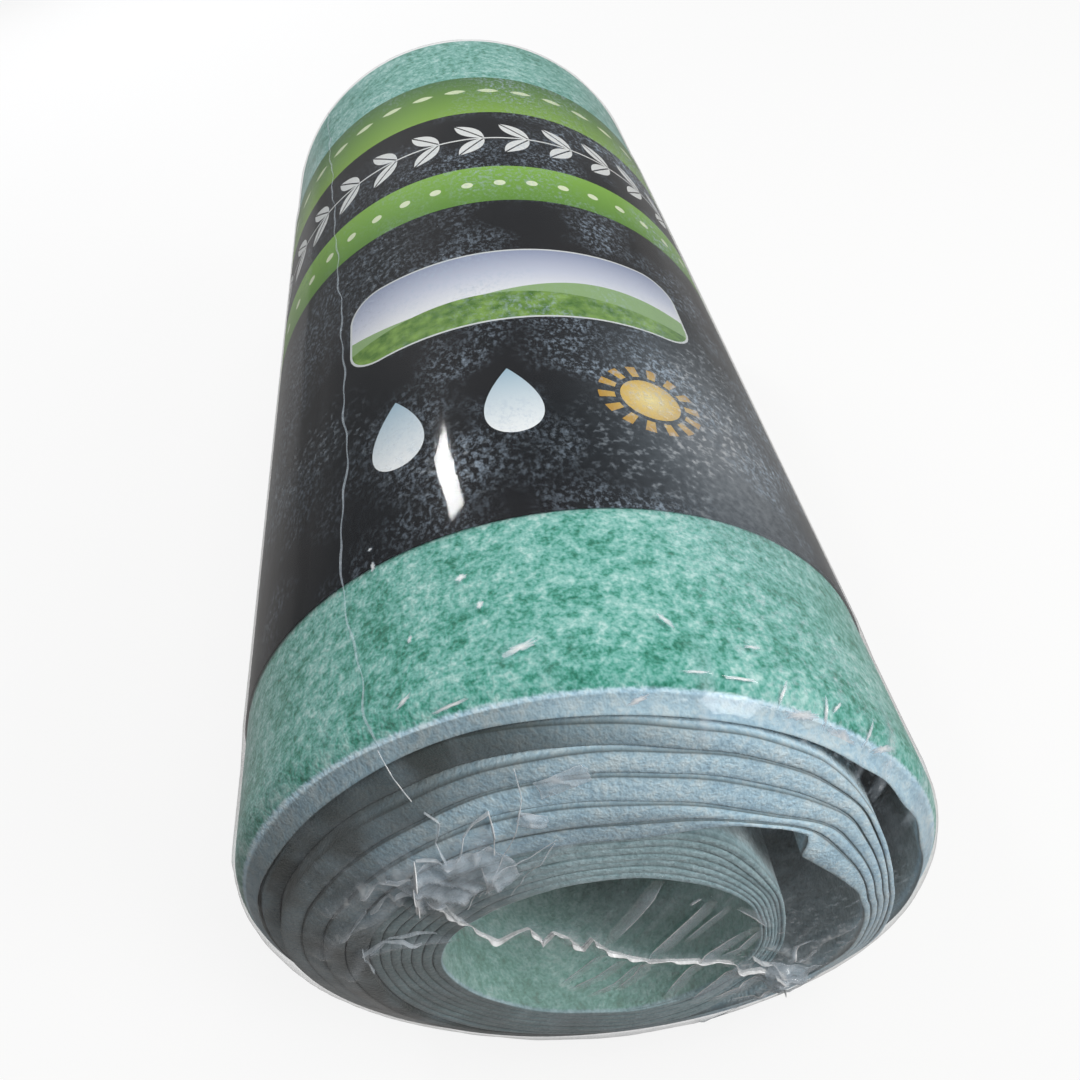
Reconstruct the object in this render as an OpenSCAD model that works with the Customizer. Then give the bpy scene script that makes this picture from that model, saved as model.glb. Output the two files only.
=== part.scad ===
// Roll of grass seed mat: a fleece mat wound on itself, a printed paper
// sleeve round it, and a clear shrink film that closes over both ends.
// The roll lies on its side, its axis along Y, with the near end at -Y.

/* [Mat] */
// Width of the mat, edge to edge along the roll
mat_width = 389; // [250:1:600]
// Outside diameter of the wound mat
mat_d = 176; // [140:1:240]
// Diameter of the open centre
bore_d = 72; // [40:1:90]
// Number of turns across the wall of the roll
turns = 13; // [8:1:20]
// How far the inner turns have slid out past the outermost one
telescope = 10; // [2:0.5:16]
// How far the middle of a turn's soft edge stands past the creases beside it
edge_crown = 2; // [0.5:0.5:4]

/* [Sleeve] */
// Length of the printed sleeve along the roll
sleeve_len = 279; // [120:1:400]
// Bare mat left between the near rim and the sleeve
sleeve_margin = 52; // [10:1:100]
// Thickness of the sleeve paper
sleeve_t = 0.3; // [0.2:0.05:0.6]

/* [Film] */
// Thickness of the shrink film
film_t = 0.3; // [0.2:0.05:0.6]
// Radius to which the film pulls in the rim at each end
film_corner = 9; // [4:0.5:14]

/* [Hidden] */
// Gap between one layer and the next
slack = 0.2;
// Straight steps in the round of a rim, and over the edge of a turn
rim_steps = 8;
crown_steps = 6;

mat_r = mat_d / 2;
bore_r = bore_d / 2;
pitch = (mat_r - bore_r) / turns;
sleeve_r = mat_r + slack;
film_inner_r = sleeve_r + sleeve_t + slack;
film_r = film_inner_r + film_t;
// Half of the roll's length, over the film
film_skin = slack + film_t;
half_len = (mat_width + telescope) / 2 + film_skin;
// Near edge of the sleeve, measured from the middle of the roll
sleeve_z = sleeve_margin + telescope + film_skin - half_len;
// How far a cut runs past the faces it opens
overrun = 1;
// Inner turns stay level out to here, and step back from here to the rim
level_r = (bore_r + mat_r) / 2;

// Step back of the near end at radius r, where the outer turns lag behind
function lag(r) = telescope * max(0, r - level_r) / (mat_r - level_r);

// Step back at radius r where the film has rounded a rim of radius rim_r
function rounding(r, rim_r, corner) =
    let (past = max(0, r - (rim_r - corner)))
    corner - sqrt(max(0, corner * corner - past * past));

// Outline points of one rounded rim, from the end face out to the cylinder
function rim(rim_r, corner) = [
    for (step = [0 : rim_steps])
        let (turned = 90 * step / rim_steps)
        [rim_r - corner * (1 - sin(turned)), corner * (1 - cos(turned))]
];

// The space inside a skin that lies at this inset from the film's outside
module film_space(inset) {
    corner = film_corner - inset;
    outline = rim(film_r - inset, corner);
    end_y = half_len - inset;
    rotate_extrude()
        polygon(concat(
            [[0, -end_y], [level_r, -end_y]],
            [for (p = outline) [p.x, p.y - end_y + lag(p.x)]],
            [for (step = [rim_steps : -1 : 0])
                [outline[step].x, end_y - outline[step].y]],
            [[0, end_y]]
        ));
}

// Inner radius of a turn, counted from the open centre outwards
function turn_r(turn) = bore_r + turn * pitch;

// The soft edge of one turn, crowned over from its inner to its outer crease
function soft_edge(turn) = [
    for (step = [0 : crown_steps])
        let (turned = 180 * step / crown_steps)
        [turn_r(turn) + pitch * (1 - cos(turned)) / 2, edge_crown * (1 - sin(turned))]
];

// Step back that the film's rounded rim gives the edge of a turn
function tucked(turn) = rounding(turn_r(turn + 1), mat_r, film_corner);

// The wound mat as one turned solid: its turns show as crowned rings
// that have slid towards the near end, and so lie deeper at the far end
module mat_roll() {
    near_y = -(mat_width + telescope) / 2;
    near_edges = [
        for (turn = [0 : turns - 1])
            for (p = soft_edge(turn))
                [p.x, near_y + p.y + tucked(turn) + lag(turn_r(turn + 1))]
    ];
    far_edges = [
        for (turn = [turns - 1 : -1 : 0])
            let (edge = soft_edge(turn))
            for (step = [crown_steps : -1 : 0])
                [edge[step].x, near_y + mat_width - edge[step].y - tucked(turn) + lag(turn_r(turn + 1))]
    ];
    color("mediumseagreen")
        rotate_extrude()
            polygon(concat(near_edges, far_edges));
}

// Printed paper sleeve, one wrap round the mat
module printed_sleeve() {
    color([0.11, 0.12, 0.13])
        translate([0, 0, sleeve_z])
            difference() {
                cylinder(r = sleeve_r + sleeve_t, h = sleeve_len);
                translate([0, 0, -overrun])
                    cylinder(r = sleeve_r, h = sleeve_len + 2 * overrun);
            }
}

// Clear film shrunk over the whole roll, closed across both ends
module shrink_film() {
    color([0.85, 0.93, 0.92, 0.3])
        difference() {
            film_space(0);
            film_space(film_t);
        }
}

// Turns a solid made upright on Z into a roll that lies along Y on the floor
module lay_down() {
    translate([0, 0, film_r])
        rotate([-90, 0, 0])
            children();
}

$fn = 96;
lay_down() mat_roll();
lay_down() printed_sleeve();
lay_down() shrink_film();
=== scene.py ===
import bpy
import math
import numpy as np
from mathutils import Matrix, Vector, noise


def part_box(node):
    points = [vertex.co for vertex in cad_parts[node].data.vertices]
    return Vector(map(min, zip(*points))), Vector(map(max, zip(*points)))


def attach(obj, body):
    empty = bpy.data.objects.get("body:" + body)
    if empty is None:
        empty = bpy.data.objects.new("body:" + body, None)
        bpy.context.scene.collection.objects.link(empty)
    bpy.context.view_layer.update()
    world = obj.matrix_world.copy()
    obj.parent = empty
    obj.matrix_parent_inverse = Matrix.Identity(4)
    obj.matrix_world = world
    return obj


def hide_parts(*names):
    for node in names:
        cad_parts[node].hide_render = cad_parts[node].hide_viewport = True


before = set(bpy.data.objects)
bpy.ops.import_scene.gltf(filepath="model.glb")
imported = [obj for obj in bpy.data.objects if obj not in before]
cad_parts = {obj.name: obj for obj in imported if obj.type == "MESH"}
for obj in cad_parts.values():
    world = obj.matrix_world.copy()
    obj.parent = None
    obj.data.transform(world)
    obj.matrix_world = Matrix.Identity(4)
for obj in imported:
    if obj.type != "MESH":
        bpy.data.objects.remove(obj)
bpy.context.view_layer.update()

scene = bpy.context.scene
scene.view_settings.view_transform = "Standard"


def linear(hexColour):  # sRGB hex to the linear colour that sockets take
    parts = [int(hexColour[i:i + 2], 16) / 255 for i in (1, 3, 5)]
    return [c / 12.92 if c <= 0.04045 else ((c + 0.055) / 1.055) ** 2.4 for c in parts] + [1.0]


# Adds a node with its settings and links. Inputs 2 and 3 of a Mix node are its two numbers, 6 and 7 its two
# colours, and the two ends of a colour ramp come first in its stops
def node(tree, kind, *feeds, into=None, stops=None, **settings):
    made = tree.nodes.new("ShaderNode" + kind)
    for name, value in settings.items():
        setattr(made, name, value)
    for place, (position, hexColour) in enumerate(stops or []):
        stop = made.color_ramp.elements[place] if place < 2 else made.color_ramp.elements.new(position)
        stop.position, stop.color = position, linear(hexColour)
    named = [(made.inputs[name], value) for name, value in (into or {}).items()]
    for socket, value in [*zip(made.inputs, feeds), *named]:
        if isinstance(value, bpy.types.Node):
            value = value.outputs[0]
        if isinstance(value, bpy.types.NodeSocket):
            tree.links.new(value, socket)
        else:
            socket.default_value = linear(value) if isinstance(value, str) else value
    return made


def newMaterial(name):
    material = bpy.data.materials.new(name)
    material.use_nodes = True
    material.node_tree.nodes.clear()
    return material, material.node_tree


def selectOnly(piece):
    bpy.ops.object.select_all(action="DESELECT")
    piece.select_set(True)
    bpy.context.view_layer.objects.active = piece


def getPoints(piece):
    flat = np.empty(len(piece.data.vertices) * 3)
    piece.data.vertices.foreach_get("co", flat)
    return flat.reshape(-1, 3)


def setPoints(piece, points):
    piece.data.vertices.foreach_set("co", np.ascontiguousarray(points, dtype=np.float64).ravel())
    piece.data.update()


def paint(piece, name, values):  # one number for each point, which a material reads by this name
    layer = piece.data.attributes.new(name, "FLOAT", "POINT")
    layer.data.foreach_set("value", np.ascontiguousarray(values, dtype=np.float32))


def wobble(points, scale, seed):  # smooth noise from -1 to 1 at each point
    return np.array([noise.noise(Vector((p[0] * scale + seed, p[1] * scale, p[2] * scale))) for p in points])


def addWall(piece, thickness, offset=0):  # gives the active skin its thickness
    wall = piece.modifiers.new("wall", "SOLIDIFY")
    wall.thickness, wall.offset = thickness, offset
    bpy.ops.object.modifier_apply(modifier="wall")


def dress(piece, material, slot, *nodes):
    piece.data.materials.clear()
    piece.data.materials.append(material)
    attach(piece, "root")
    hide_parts(*nodes)


# The roll's own measures, in metres, from the solids
matLow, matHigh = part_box("mat_roll")
filmLow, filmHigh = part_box("shrink_film")
sleeveLow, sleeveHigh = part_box("printed_sleeve")
axisZ = (matLow[2] + matHigh[2]) / 2
matRadius = (matHigh[2] - matLow[2]) / 2
filmRadius = (filmHigh[2] - filmLow[2]) / 2
sleeveRadius = (sleeveHigh[2] - sleeveLow[2]) / 2
nearY = matLow[1]
sharpest = math.radians(50)  # edges up to this angle are shaded smooth

rollEnd = {
    "levelRadius": 0.062,  # inner turns lie level out to here
    "slide": 0.010,  # and the outer ones lag behind by this much at the rim
    "corner": 0.009,  # round of the rim
    "leanX": -0.071,  # the near end leans: its right side stands further out
    "leanZ": 0.007,
    "matWidth": 0.389,
}


def lagAt(r):  # step back of the near end at this radius, where the outer turns lag behind
    return rollEnd["slide"] * np.maximum(0, r - rollEnd["levelRadius"]) / (matRadius - rollEnd["levelRadius"])


def roundingAt(r, rimRadius, corner):  # step back where a rim is rounded
    past = np.clip(r - (rimRadius - corner), 0, corner)
    return corner - np.sqrt(corner ** 2 - past ** 2)


def leanAt(x, z):  # step back, or out, where the near end leans
    return rollEnd["leanX"] * x + rollEnd["leanZ"] * (z - axisZ)


def smoothStep(low, high, values):
    t = np.clip((values - low) / (high - low), 0, 1)
    return t * t * (3 - 2 * t)


# Camera, floor and light
view = {
    "place": (0.0223, -0.3015, 0.3286),
    "right": (0.9699, -0.1296, -0.2059),
    "up": (0.2375, 0.6883, 0.6854),
    "lens": 32.77,
    "sensor": 36.0,
    "nearest": 0.01,
}
cameraData = bpy.data.cameras.new("camera")
cameraData.lens, cameraData.sensor_width = view["lens"], view["sensor"]
cameraData.clip_start = view["nearest"]
camera = bpy.data.objects.new("camera", cameraData)
scene.collection.objects.link(camera)
right = Vector(view["right"]).normalized()
back = right.cross(Vector(view["up"])).normalized()
up = back.cross(right)
camera.matrix_world = Matrix.Translation(view["place"]) @ Matrix((right, up, back)).transposed().to_4x4()
scene.camera = camera

lamps = {  # place, size across and along, watts, colour, whether the film mirrors it
    "key": ((0.55, -0.35, 1.25), (0.6, 0.6), 6.0, "#FFFCF8", False),
    "front": ((0.98, -0.85, 0.78), (0.5, 0.5), 9.0, "#FFFFFF", True),
    "back": ((-0.45, 1.35, 0.75), (0.8, 0.8), 7.5, "#F6F9FF", False),
    "strip": ((-0.335, 0.985, 1.06), (0.11, 0.15), 2.4, "#FFFFFF", True),
}
lampAim = Vector((0, 0, 0.09))
for lampName, (place, (wide, tall), watts, colour, mirrored) in lamps.items():
    lampData = bpy.data.lights.new(lampName, "AREA")
    lampData.shape, lampData.size, lampData.size_y = "RECTANGLE", wide, tall
    lampData.energy, lampData.color = watts, linear(colour)[:3]
    lamp = bpy.data.objects.new(lampName, lampData)
    lamp.location = place
    lamp.rotation_euler = (lampAim - Vector(place)).to_track_quat("-Z", "Y").to_euler()
    lamp.visible_glossy = mirrored
    scene.collection.objects.link(lamp)

skyLight = {
    "tone": "#FFFFFF",
    "heights": (0.1, 0.75),  # it brightens between these
    "strengths": (0.038, 0.33),  # from the first of these to the second
    "mirrored": 0.28,
    "seen": 1.0,
}
world = bpy.data.worlds.new("studio")
world.use_nodes = True
scene.world = world
tree = world.node_tree
skyHeight = node(tree, "SeparateXYZ", node(tree, "TexCoord").outputs["Generated"]).outputs["Z"]
limits = [*skyLight["heights"], *skyLight["strengths"]]
skyLevel = node(tree, "MapRange", skyHeight, *limits, interpolation_type="SMOOTHSTEP")
rays = node(tree, "LightPath")
for ray, level in (("Is Glossy Ray", skyLight["mirrored"]), ("Is Camera Ray", skyLight["seen"])):
    skyLevel = node(tree, "Mix", rays.outputs[ray], into={2: skyLevel, 3: level}).outputs[0]
tree.nodes["Background"].inputs["Color"].default_value = linear(skyLight["tone"])
tree.links.new(skyLevel, tree.nodes["Background"].inputs["Strength"])

ground = {
    "size": 40,
    "shade": "#55504C",  # as it lights the roll
    "pale": "#F4F4F3",  # as it is seen
    "glow": "#FFFFFF",
    "glowShare": 0.84,  # the rest of what is seen takes the roll's shadow
    "mirrored": 0.2,  # share of the pale floor that the film mirrors
}
bpy.ops.object.select_all(action="DESELECT")
bpy.ops.mesh.primitive_plane_add(size=ground["size"], location=(0, 0, 0))
floor = bpy.context.object
floor.name = "floor"
floorPaint, tree = newMaterial("plain_floor")
rays = node(tree, "LightPath")
mirrored = node(tree, "Math", rays.outputs["Is Glossy Ray"], ground["mirrored"], operation="MULTIPLY")
seen = node(tree, "Math", rays.outputs["Is Camera Ray"], mirrored, operation="MAXIMUM")
seenShare = node(tree, "Math", seen, ground["glowShare"], operation="MULTIPLY")
tone = node(tree, "Mix", seen, into={6: ground["shade"], 7: ground["pale"]}, data_type="RGBA").outputs[2]
pale = node(tree, "Emission", into={"Color": ground["glow"], "Strength": 1.0})
matt = node(tree, "BsdfPrincipled", into={"Base Color": tone, "Roughness": 0.9})
floorShader = node(tree, "MixShader", seenShare, matt, pale)
node(tree, "OutputMaterial", floorShader)
floor.data.materials.append(floorPaint)
print("camera, floor and lamps set")


# The mat: a flat sheet, rolled up by the table below
mat = {
    "turns": 13,
    "coilTurns": 7,  # the tight coil inside; five loose turns lie round it, and the rim turn round those
    "steps": 196,  # for each turn
    "pace": [(0.0, 0.20, 0.42, 1.0), (-90, -5, 45, 270)],  # shares of a turn and the angles there
    "smoothing": 2.2,
    "gaps": (0.00006, 0.00013),  # half of the gap between turns, in the coil and outside it
    "sway": 0.0005,  # turns sway in and out by this much
    "innerEnd": (0.16, 0.0003),  # the sheet thins out over this share of a turn, to this thickness
    # a crumpled corner that hangs from the innermost loose turn: angles of its start, tip and end
    "crumple": {"angles": (4, 30, 36), "depth": 0.0056, "out": 0.0003},
    "slid": 0.0006,  # turns have slid in or out by this much
    "lowTurn": {"from": (62, 108), "to": (215, 165), "depth": 0.0026},  # the last loose turn lies low here
    "coilDepth": 0.0012,
    "rimOut": 0.0008,
    "softCorner": 0.0003,  # round of a cut edge
    "softShare": 0.45,  # and the most of the thickness that it takes
    "rimFold": 0.0862,  # the film folds the rim turn in to here
    # radii in mm by angle: bore, coil's outside, inside of each loose turn, outside of the last one,
    # inside of the rim turn
    "table": [
        (-90, 47.2, 66.1, 66.1, 69.8, 73.5, 77.2, 80.9, 84.6, 84.6),
        (-75, 47.0, 63.0, 69.0, 72.0, 75.0, 78.2, 81.2, 84.2, 84.6),
        (-55, 45.5, 55.5, 71.5, 74.0, 76.4, 78.8, 81.2, 83.6, 84.3),
        (-40, 44.0, 51.0, 73.0, 75.0, 77.0, 79.0, 81.0, 82.8, 83.8),
        (-30, 43.0, 49.0, 72.0, 74.0, 75.8, 77.6, 79.3, 81.0, 83.4),
        (-12, 40.4, 46.8, 66.5, 68.5, 70.4, 72.2, 73.9, 75.5, 81.4),
        (0, 38.6, 45.8, 63.5, 65.6, 67.6, 69.6, 71.3, 72.9, 82.0),
        (8, 38.0, 45.8, 62.5, 65.0, 67.2, 69.4, 71.1, 72.6, 79.7),
        (15, 37.3, 46.2, 62.5, 64.9, 67.3, 69.9, 72.0, 73.5, 82.3),
        (22, 36.5, 46.8, 62.6, 64.8, 67.5, 70.5, 73.0, 74.6, 80.4),
        (30, 35.4, 48.2, 63.5, 65.0, 68.0, 71.8, 74.8, 76.0, 82.8),
        (35, 34.7, 49.3, 63.6, 65.2, 67.5, 71.5, 75.2, 77.8, 81.6),
        (45, 33.0, 51.3, 62.3, 63.4, 65.0, 71.0, 76.2, 80.2, 82.6),
        (53, 32.0, 52.2, 60.5, 62.0, 64.3, 70.6, 76.2, 80.9, 82.7),
        (59, 31.6, 52.3, 56.5, 60.5, 64.0, 70.4, 76.0, 81.0, 82.6),
        (65, 31.3, 51.8, 52.3, 58.5, 63.8, 70.3, 75.9, 81.1, 82.5),
        (76, 30.2, 50.2, 50.4, 57.0, 63.9, 70.5, 76.0, 81.5, 82.8),
        (88, 29.4, 50.0, 50.2, 57.0, 64.4, 70.7, 76.2, 82.2, 83.5),
        (97, 29.3, 50.2, 50.4, 57.3, 64.6, 70.8, 76.2, 82.8, 84.0),
        (105, 29.5, 50.3, 50.5, 57.8, 64.6, 69.8, 75.0, 82.4, 83.7),
        (120, 30.3, 50.8, 51.0, 57.3, 63.5, 68.7, 74.4, 81.0, 82.0),
        (140, 31.8, 52.3, 52.5, 58.4, 63.6, 69.0, 74.8, 79.8, 80.8),
        (160, 35.8, 55.0, 55.2, 60.8, 66.0, 71.2, 76.6, 81.6, 82.6),
        (180, 39.4, 57.5, 57.7, 63.0, 68.3, 73.4, 78.4, 83.2, 83.8),
        (205, 42.0, 60.0, 60.3, 65.4, 70.3, 75.0, 79.7, 84.0, 84.3),
        (230, 44.5, 63.0, 63.3, 67.9, 72.3, 76.5, 80.6, 84.5, 84.8),
        (250, 46.5, 66.2, 66.4, 70.6, 74.7, 78.6, 82.3, 85.8, 86.0),
        (270, 49.9, 69.8, 69.8, 73.5, 77.2, 80.9, 84.6, 87.6, 87.7),
    ],
    # distances from an edge at which the sheet has a row of points, and how pale its faces are there
    "rows": [0.0, 0.0015, 0.003, 0.005, 0.008, 0.012, 0.020, 0.045, 0.080],
    "farRows": [0.0, 0.003, 0.012, 0.045],
    "paleInside": [1.0, 0.8, 0.5, 0.3, 0.15, 0.0, 0.0, 0.0, 0.0],
    "paleOutside": [0.8, 0.0, 0.0, 0.0, 0.0, 0.0, 0.0, 0.0, 0.0],
    "dyedInBore": [1.0, 1.0, 1.0, 1.0, 1.0, 1.0, 0.9, 0.38, 0.08],  # the green goes grey further in
    "midRow": 0.195,
    # shares of the thickness at which a cut edge has points, and how far it is crowned there
    "crown": [(0.05, 0.35), (0.2, 0.85), (0.5, 1.0), (0.8, 0.85), (0.95, 0.35)],
    "farCrown": [(0.82, 0.7), (0.5, 1.0), (0.18, 0.7)],
    "greenOutside": (11.6, 11.95),  # turns over which the outer face goes green
    "greenInside": (1.25, 1.0),  # and the inner face, towards the bore
    "coilEnds": (7.4, 6.6),
    "paintedShade": {  # painted shade, by angle: the near end's pale edges darken round its left and lower side, and a little over the rim turn and the loose turns; the outer loose turns are shaded further round
        "begins": [(6, 7, 8, 9, 10, 11), (80, 98, 98, 88, 72, 52)],  # turns, and where each begins
        "spread": 52,
        "ends": (310, 262),
        "most": (0.78, 0.6, 1.0),  # in the coil, in the rim turn, and between
        "least": (0.0, 0.26, 0.14),
        "leastFrom": (48, 84),  # between coil and rim
        "smoothing": 4,
    },
}


def smoothed(values, width):  # blurs a row of numbers over this many steps
    reach = int(width * 3)
    weights = np.exp(-0.5 * (np.arange(-reach, reach + 1) / width) ** 2)
    padded = np.concatenate([np.full(reach, values[0]), values, np.full(reach, values[-1])])
    return np.convolve(padded, weights / weights.sum(), mode="valid")


def crumpleAt(turn, degrees):  # from 0 to 1 at the tip of the crumpled corner
    start, tip, end = mat["crumple"]["angles"]
    rising = np.clip((degrees - start) / (tip - start), 0, 1)
    return np.where(degrees > tip, smoothStep(end, tip, degrees), rising) * (turn == mat["coilTurns"])


def turnFaces(along, turn, degrees):  # inner, outer and middle radius of the sheet at each step
    table = np.array(mat["table"], dtype=float)
    lines = np.array([np.interp(degrees, table[:, 0], column) for column in table[:, 1:].T]) / 1000
    bore, coilOut, rimIn = lines[0], lines[1], lines[8]
    coilStep = (coilOut - bore) / mat["coilTurns"]
    loose = np.clip(turn - mat["coilTurns"], 0, 4).astype(int)
    each = np.arange(len(turn))
    kinds = [turn < mat["coilTurns"], turn == mat["turns"] - 1]
    rimOut = np.full(len(turn), matRadius)
    inner = np.select(kinds, [bore + turn * coilStep, rimIn], lines[2 + loose, each])
    outer = np.select(kinds, [bore + (turn + 1) * coilStep, rimOut], lines[3 + loose, each])
    inner, outer = smoothed(inner, mat["smoothing"]), smoothed(outer, mat["smoothing"])
    angle, middle = np.radians(degrees), (inner + outer) / 2
    places = np.stack([middle * np.cos(angle), middle * np.sin(angle), along * 0.0], 1)
    # it sways in waves of 17 mm, which die out at the rim
    shift = mat["sway"] * wobble(places, 60, 3.1) * smoothStep(0.085, 0.078, middle)
    inner = inner - mat["crumple"]["depth"] * crumpleAt(turn, degrees)
    gap = np.where(kinds[0], *mat["gaps"])
    inner, outer = inner + shift + gap, outer + shift - gap
    over, thinnest = mat["innerEnd"]
    inner = inner + (outer - inner - thinnest) * smoothStep(over, 0.0, along)
    return inner, outer, middle


def slipAt(along, turn, degrees):  # how far each step has slid into the roll
    angle, low = np.radians(degrees), mat["lowTurn"]
    places = np.stack([np.cos(angle), np.sin(angle), turn * 0.7], 1)
    slip = mat["slid"] * wobble(places, 1.4, 8.0) - mat["crumple"]["out"] * crumpleAt(turn, degrees)
    sunk = smoothStep(*low["from"], degrees) * smoothStep(*low["to"], degrees) * (turn == mat["turns"] - 2)
    inCoil, inRim = smoothStep(7.2, 6.8, along), turn == mat["turns"] - 1
    slip += low["depth"] * sunk + mat["coilDepth"] * inCoil - mat["rimOut"] * inRim
    return smoothed(slip, mat["smoothing"])


def paintMat(sheet, along, turn, degrees, step, share, farSide, fromCorner):
    outside = smoothStep(*mat["greenOutside"], along)[step] * (share > 0.9)
    inside = smoothStep(*mat["greenInside"], along)[step] * (share < 0.1)
    dyed = np.maximum(outside, inside * np.interp(fromCorner, mat["rows"], mat["dyedInBore"]))
    paleIn = np.interp(fromCorner, mat["rows"], mat["paleInside"])
    paleOut = np.interp(fromCorner, mat["rows"], mat["paleOutside"])
    onCut = (share > 0.01) & (share < 0.99)
    paint(sheet, "pale", np.where(onCut, 1.0, np.where(dyed > 0.5, paleOut, paleIn)))
    paint(sheet, "dyed", dyed)
    paint(sheet, "hollow", inside)
    kinds = [turn < mat["coilTurns"], turn == mat["turns"] - 1]
    # painted shade: dark lines along the corners where the turns meet, fainter in the coil
    crease = np.where(onCut, 0.25 * ((share < 0.06) | (share > 0.94)), fromCorner < 0.0002)
    paint(sheet, "crease", crease * (dyed < 0.5) * np.where(kinds[0], 0.6, 1.0)[step])
    paint(sheet, "coil", smoothStep(*mat["coilEnds"], along)[step])
    # painted shade: the pale edges of the near end are darkened round its left and lower side, where less light
    # falls
    paintedShade = mat["paintedShade"]
    around = np.where(degrees < 0, degrees + 360, degrees)
    begins = np.interp(turn, *paintedShade["begins"])
    shadeAmount = smoothStep(begins, begins + paintedShade["spread"], around) * smoothStep(*paintedShade["ends"], around)
    shadeAmount = shadeAmount * np.select(kinds, paintedShade["most"][:2], paintedShade["most"][2])
    least = paintedShade["least"][2] * smoothStep(*paintedShade["leastFrom"], around)
    shadeAmount = np.maximum(shadeAmount, np.select(kinds, paintedShade["least"][:2], least))
    paint(sheet, "paintedShade", smoothed(shadeAmount, paintedShade["smoothing"])[step] * (1 - dyed) * (farSide == 0))


def woundMat():
    count = mat["turns"] * mat["steps"] + 1
    along = np.arange(count) / mat["steps"]
    turn = np.minimum(np.floor(along), mat["turns"] - 1)
    degrees = np.interp(along - turn, *mat["pace"])
    angle = np.radians(degrees)
    inner, outer, middle = turnFaces(along, turn, degrees)
    slip = slipAt(along, turn, degrees)
    thick = outer - inner
    cornerDepth = np.minimum(mat["softShare"] * thick, mat["softCorner"])

    # one loop round the sheet's section: outer face, far edge, inner face, near edge
    rows, farRows, midRow = mat["rows"], mat["farRows"], [mat["midRow"]]
    loop = [(1.0, 0, d) for d in rows + midRow] + [(1.0, 1, d) for d in farRows[::-1]]
    loop += [(share, 1, -crown) for share, crown in mat["farCrown"]]
    loop += [(0.0, 1, d) for d in farRows] + [(0.0, 0, d) for d in midRow + rows[::-1]]
    loop += [(share, 0, -crown) for share, crown in mat["crown"]]
    loop.append(loop[0])

    bpy.ops.object.select_all(action="DESELECT")
    bpy.ops.mesh.primitive_grid_add(x_subdivisions=len(loop) - 1, y_subdivisions=count - 1, size=2)
    sheet = bpy.context.object
    sheet.name = "wound_mat"
    flat = getPoints(sheet)
    across = np.rint((flat[:, 0] + 1) / 2 * (len(loop) - 1)).astype(int)
    step = np.rint((flat[:, 1] + 1) / 2 * (count - 1)).astype(int)

    share, farSide, distance = [np.array(column)[across] for column in zip(*loop)]
    radius = inner[step] + share * thick[step]
    x, z = radius * np.cos(angle[step]), axisZ + radius * np.sin(angle[step])
    inset = np.where(distance < 0, -distance, 0)  # crown of the cut edge, as a share of the corner
    fromCorner = np.where(distance < 0, 0, distance) - cornerDepth[step] * inset
    fromEdge = fromCorner + cornerDepth[step]
    corner, farY = rollEnd["corner"], nearY + rollEnd["matWidth"]
    # a cut edge slopes nearly as the end does
    level = np.minimum(0.7 * radius + 0.3 * middle[step], mat["rimFold"])
    nearEdge = nearY + lagAt(level) + roundingAt(level, matRadius, corner) + leanAt(x, z) + slip[step]
    farEdge = farY + lagAt(middle[step]) - roundingAt(middle[step], matRadius, corner) + slip[step]
    y = np.where(farSide > 0, farEdge - fromEdge, nearEdge + fromEdge)

    # the film bends the outer turns in over the rim
    bendNear = nearY + rollEnd["slide"] + corner + leanAt(x, z)
    bendFar = farY + rollEnd["slide"] - corner
    past = np.clip(np.maximum(bendNear - y, y - bendFar), 0, corner * 0.98)
    weight = np.clip((radius - (matRadius - corner)) / corner, 0, 1) ** 2.5
    radius = radius - weight * roundingAt(past, corner, corner)
    x, z = radius * np.cos(angle[step]), axisZ + radius * np.sin(angle[step])
    setPoints(sheet, np.stack([x, y, z], 1))
    paintMat(sheet, along, turn, degrees, step, share, farSide, fromCorner)

    selectOnly(sheet)
    bpy.ops.object.mode_set(mode="EDIT")
    bpy.ops.mesh.select_all(action="SELECT")
    bpy.ops.mesh.remove_doubles(threshold=0.000002)
    bpy.ops.mesh.select_all(action="DESELECT")
    bpy.ops.mesh.select_mode(type="EDGE")
    bpy.ops.mesh.select_non_manifold()
    bpy.ops.mesh.edge_face_add()
    bpy.ops.mesh.select_all(action="SELECT")
    bpy.ops.mesh.normals_make_consistent(inside=False)
    bpy.ops.object.mode_set(mode="OBJECT")
    bpy.ops.object.shade_smooth_by_angle(angle=sharpest)
    return sheet


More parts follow.
